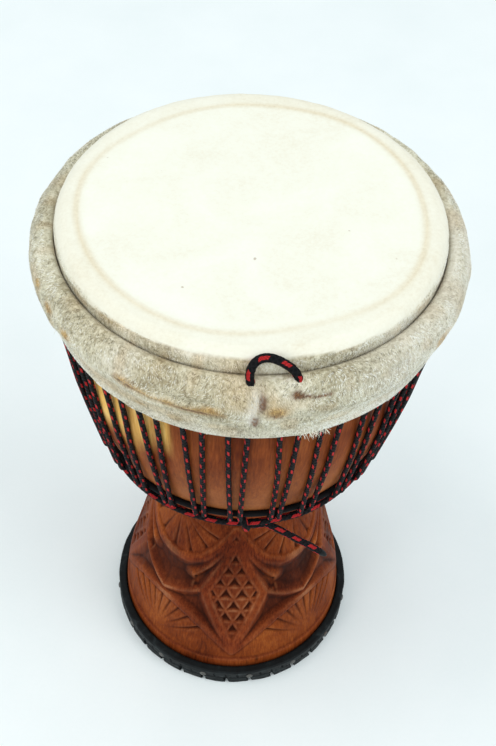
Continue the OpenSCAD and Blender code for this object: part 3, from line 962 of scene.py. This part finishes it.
LACING_R = 2.4
PAIRS = 28
PITCH = 360 / PAIRS
BOTTOM_HALF, TOP_HALF = 1.3, PITCH / 4
STRAND = np.array([
    (163.2, 549.3), (162.7, 553.7), (165.9, 556.0), (170.8, 557.1), (175.0, 554.3), (175.9, 549.3), (172.3, 536.5),
    (168.2, 524.0), (161.3, 476.0), (157.4, 442.2), (155.5, 429.4), (153.26, 416.5), (149.2, 395.3), (144.6, 371.5),
    (141.2, 353.9), (139.9, 347.0), (138.4, 344.1), (135.6, 342.6), (132.5, 342.9),
])


def make_lacing():
    jitter = random.Random(SEED)
    parts = []
    for i in range(PAIRS):
        middle_low, middle_high = jitter.gauss(0.9, 0.55), jitter.gauss(-0.5, 0.45)
        for side in (-1, 1):
            low = side * (BOTTOM_HALF + max(-0.05, jitter.gauss(0.25, 0.45))) + middle_low
            high = side * (TOP_HALF + jitter.gauss(0, 0.35)) + middle_high
            share = np.clip((STRAND[:, 1] - BOTTOM_Z) / (CROWN_Z - BOTTOM_Z), 0, 1)
            bow = np.sin(share * math.pi) * jitter.gauss(0, 0.18)
            section = smooth_path(np.column_stack([STRAND, low + (high - low) * share + bow]), 2)
            path = resample(polar(section[:, 0], i * PITCH + section[:, 2], section[:, 1]), 2.6)
            parts.append(tube(path, LACING_R, 10, start=jitter.uniform(0, 90), twist=jitter.uniform(-0.006, 0.006)))
    points, faces, uv = joined(parts)
    return mesh_piece("lacing_strands", points, faces, LACING_ROPE, uv=uv)


lacing = make_lacing()
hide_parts("lacing_rope")


# ---- waist rope, knot, tail

WAIST_OUT, WAIST_DOWN = 1.3, 0.4


def braided(path, radius, closed=False, start=0.0, pick=5.2, relief=0.22, sides=20):
    """A rope with the crossing strands of its braid standing proud of its surface."""
    points, faces, uv = tube(path, radius, sides, closed, start=start)
    n = len(path)
    turn = np.arange(sides) / sides
    lay = (distances(path) + start)[:, None] / pick
    over = np.sin(2 * np.pi * (4 * turn[None] + lay))
    under = np.sin(2 * np.pi * (4 * turn[None] - lay))
    rise = relief * np.maximum(over, under)
    centre = np.repeat(np.asarray(path)[:, None], sides, 1)
    ring = points.reshape(n, sides, 3) - centre
    points = centre + ring * (1 + (rise - relief * 0.6) / radius)[..., None]
    return points.reshape(-1, 3), faces, uv


def make_waist_rope():
    turn = np.linspace(0, 360, 640, endpoint=False) - 180
    x = (turn + 180) / 360
    path = polar(WAIST_R + WAIST_OUT + 0.25 * round_noise(x, 56, 91), turn,
                 WAIST_Z - WAIST_DOWN + 0.5 * round_noise(x, 24, 92))
    points, faces, uv = braided(path, ROPE_R, closed=True)
    return mesh_piece("waist_rope_turn", points, faces, WAIST_ROPE, uv=uv)


KNOT_ANGLE = 4.5
TAIL_ROUTE = np.array([(29, -125, 320), (35, -126, 317), (45, -127, 311), (57, -128, 302), (70, -128, 292),
                       (81, -128, 282)], float)
TIP_ROUTE = np.array([(81, -128, 282), (84, -128, 279), (88, -128, 275)], float)


def make_knot():
    """One turn over the waist rope, tucked behind the rings, and the end that runs on under it to the tail."""
    reach = 2 * ROPE_R + 0.1
    over = []
    for step in np.linspace(0, 1, 22):
        a = math.radians(100 - 205 * step)
        over.append((WAIST_R + reach * math.cos(a), WAIST_Z + reach * math.sin(a), KNOT_ANGLE - 1.6 + 2.6 * step))
    over = np.array(over)
    over_path = resample(polar(over[:, 0], over[:, 2], over[:, 1]), 0.9)
    low = math.radians(-105)
    low_r, low_z = WAIST_R + reach * math.cos(low), WAIST_Z + reach * math.sin(low)
    run = [polar(low_r + r, KNOT_ANGLE + a, low_z + z)
           for r, a, z in ((-2.0, -3.2, 1.5), (0.2, 0, 0), (1.6, 3, -0.9), (1.4, 6, -1.6))]
    run += [TAIL_ROUTE[0] + (-1.0, 0.2, 0.4), TAIL_ROUTE[0] + (1.2, -0.2, -0.6)]
    run_path = resample(smooth_path(run, 3), 0.9)
    turns = [braided(over_path, ROPE_R * 0.96, start=4), braided(run_path, ROPE_R * 0.97, start=9)]
    points, faces, uv = joined(turns)
    return mesh_piece("knot_turns", points, faces, WAIST_ROPE, uv=uv)


def make_tail():
    path = resample(smooth_path(TAIL_ROUTE, 3), 0.9)
    points, faces, uv = braided(path, ROPE_R, start=6)
    tail = mesh_piece("rope_tail_braid", points, faces, WAIST_ROPE, uv=uv)
    tip_path = resample(smooth_path(TIP_ROUTE, 2), 0.7)
    share = np.linspace(0, 1, len(tip_path))
    radius = (ROPE_R - 0.35) * np.sqrt(np.clip(1 - share ** 2.2, 0.02, 1)) + 0.12 * np.sin(share * 40)
    points, faces, uv = tube(tip_path, radius, 18)
    tip = mesh_piece("tail_end_melted", points, faces, TIP, uv=uv)
    return tail, tip, path


waist = make_waist_rope()
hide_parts("waist_rope")
knot = make_knot()
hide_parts("waist_knot")
tail, tip, tail_path = make_tail()
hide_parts("rope_tail")
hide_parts("tail_tip")


# ---- carry loop

LOOP_TILT = 22.37
CHORD = np.array((170.23, 565.04))
LOOP_SHAPE = [(-17, 0), (-17.4, 5.0), (-18.6, 11), (-18.4, 17), (-15.6, 23.5), (-10.5, 27.2), (-4.0, 27.4),
              (2.5, 24.8), (8.5, 20.8), (13.5, 16.5), (16.8, 11), (17.4, 5.5), (17, 0)]


def make_carry_loop():
    """The rope's arch, with a rounded foot across each end, on the axis that the loop turns about."""
    tilt = math.radians(LOOP_TILT)
    out, side = directions(LOOP_ANGLE)
    rise = math.cos(tilt) * UP - out * math.sin(tilt)
    centre = out * CHORD[0] + CHORD[1] * UP
    shape = smooth_path(LOOP_SHAPE, 3)
    path = resample(centre + shape[:, :1] * side + shape[:, 1:] * rise, 0.9)
    parts = [braided(path, ROPE_R, start=2.0)]
    for end in (path[0], path[-1]):
        foot_path = end + np.outer((-3.4, -2.6, -1.2, 1.2, 2.6, 3.4), side)
        points, faces, uv = tube(resample(foot_path, 0.5), ROPE_R, 18)
        middle = points.mean(0)
        reach = ((points - middle) @ side)[:, None]
        narrow = np.sqrt(np.clip(1 - (reach / 4.1) ** 2, 0.05, 1))
        parts.append((middle + reach * side + (points - middle - reach * side) * narrow, faces, uv))
    points, faces, uv = joined(parts)
    return mesh_piece("carry_loop_rope", points, faces, LOOP_ROPE, "carry_loop", uv=uv)


carry_loop = make_carry_loop()
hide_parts("carry_loop")


# ---- tyre strip and tacks

TYRE_OUT = TYRE_HIGH.x / MM
TYRE_IN = TYRE_OUT - 9
TYRE_H = TYRE_HIGH.z / MM
BLOCKS, TACKS = 32, 16
SHANK_END_R = 115


def make_tyre():
    """The strip with the tyre's tread around it: blocks low down, a rib, and shallow slits above."""
    around = 960
    face = np.r_[np.linspace(0, 8, 8), np.linspace(8.6, 15, 7), np.linspace(16, TYRE_H - 1.6, 5)]
    section = np.vstack([
        [(TYRE_IN, 1.2), (TYRE_IN + 1.0, 0.2), (TYRE_IN + 3.5, 0.0), (TYRE_OUT - 1.4, 0.0),
         (TYRE_OUT - 0.5, 0.3)],
        np.stack([np.full(len(face), TYRE_OUT), 0.8 + face * (TYRE_H - 2.2) / (TYRE_H - 1.6)], -1),
        [(TYRE_OUT - 0.5, TYRE_H - 0.5), (TYRE_OUT - 1.6, TYRE_H), (TYRE_IN + 2.2, TYRE_H),
         (TYRE_IN + 0.7, TYRE_H - 0.3), (TYRE_IN, TYRE_H - 1.4)],
    ])
    angle, z = np.meshgrid(columns(around), section[:, 1], indexing="ij")
    outward = section[:, 0] > TYRE_OUT - 2.0
    phase = (angle / (360 / BLOCKS) + 0.012 * (z - 5)) % 1
    groove = (np.abs(phase - 0.5) > 0.43) & (z < 9.2)
    slit = (np.abs((phase * 2 + 0.3 * (z > 12)) % 1 - 0.5) < 0.055) & (z > 10.8) & (z < 16.5)
    rib = bell(z - 9.9, 0.55)
    cut = outward * (4.2 * groove + 1.1 * slit + 0.9 * rib)
    x = (angle + 180) / 360
    cut = cut + outward * 0.35 * value_noise(x, z / TYRE_H, 80, 3, 95)
    wave = 0.5 * round_noise(x, 14, 96) * (z > 12) + 0.4 * round_noise(x, 37, 97) * (z > 15)
    points = polar(section[:, 0] - cut, angle, np.clip(z + wave, 0, None))
    faces = grid_faces(around, len(section), closed=True)
    return mesh_piece("tyre_strip", points.reshape(-1, 3), faces, RUBBER, smooth=False)


def make_tacks():
    """Low domed heads, each on its shank through the strip."""
    parts, sides = [], 20
    dome = [(3.5, 0.0), (3.6, 0.35), (3.2, 0.9), (2.3, 1.35), (1.2, 1.6), (0.3, 1.66)]
    profile = [(1.0, SHANK_END_R - TYRE_OUT), (1.0, -0.2)] + dome
    for i in range(TACKS):
        out, side = directions((i + 0.5) * 360 / TACKS)
        centre = out * (TYRE_OUT - 0.15) + 0.62 * TYRE_H * UP
        points = [centre + out * d + r * (math.cos(t) * side + math.sin(t) * UP)
                  for r, d in profile for t in np.arange(sides) * 2 * math.pi / sides]
        faces = [(k + j, k + (j + 1) % sides, k + sides + (j + 1) % sides, k + sides + j)
                 for k in range(0, (len(profile) - 1) * sides, sides) for j in range(sides)]
        faces.append(tuple((len(profile) - 1) * sides + j for j in range(sides)))
        faces.append(tuple(range(sides - 1, -1, -1)))
        parts.append((np.array(points), faces, []))
    points, faces, _ = joined(parts)
    return mesh_piece("tack_heads", points, faces, TACK)


tyre = make_tyre()
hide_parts("foot_tyre")
tacks = make_tacks()
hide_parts("tyre_tacks")


# ---- CAD nodes that stay

for node, material in (("flesh_ring", RING), ("crown_ring", RING), ("bottom_ring", RING),
                       ("bottom_ring_wrap", CLOTH), ("crown_hitches", PLAIN_ROPE), ("loop_anchors", PLAIN_ROPE)):
    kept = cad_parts[node]
    kept = bpy.data.objects[kept] if isinstance(kept, str) else kept
    kept.data.materials.clear()
    kept.data.materials.append(material)


# ---- floor and light

def make_floor():
    """A flat sheet, in metres, just under the drum."""
    steps = 24
    n = steps + 1
    points = [(x, y, -0.0005) for y in np.linspace(-2.0, 2.6, n) for x in np.linspace(-2.2, 2.2, n)]
    faces = [(k, k + 1, k + n + 1, k + n) for r in range(steps) for k in range(r * n, r * n + steps)]
    data = bpy.data.meshes.new("floor")
    data.from_pydata(points, [], faces)
    data.materials.append(floor_material("pale_floor"))
    floor = bpy.data.objects.new("floor", data)
    bpy.context.scene.collection.objects.link(floor)


LIGHT_AIM = (0, 0, 0.3)


def area_light(name, place, size, power, colour):
    data = bpy.data.lights.new(name, "AREA")
    data.shape = "DISK"
    data.size = size
    data.energy = power
    data.color = colour
    light = bpy.data.objects.new(name, data)
    light.location = place
    light.rotation_euler = (Vector(LIGHT_AIM) - Vector(place)).to_track_quat("-Z", "Y").to_euler()
    bpy.context.scene.collection.objects.link(light)


make_floor()
area_light("key_light", (-1.9, -0.3, 4.2), 2.2, 38, (1.0, 0.995, 0.97))
area_light("fill_light", (2.8, -1.2, 3.3), 2.4, 48, (0.97, 0.995, 1.0))
area_light("front_light", (-2.4, -3.0, 1.7), 1.6, 26, (1.0, 0.99, 0.97))

world = bpy.data.worlds.new("studio")
world.use_nodes = True
world.node_tree.nodes["Background"].inputs["Color"].default_value = (0.93, 0.98, 1.0, 1)
world.node_tree.nodes["Background"].inputs["Strength"].default_value = 0.765
bpy.context.scene.world = world
bpy.context.scene.view_settings.view_transform = "Standard"

bpy.context.view_layer.update()
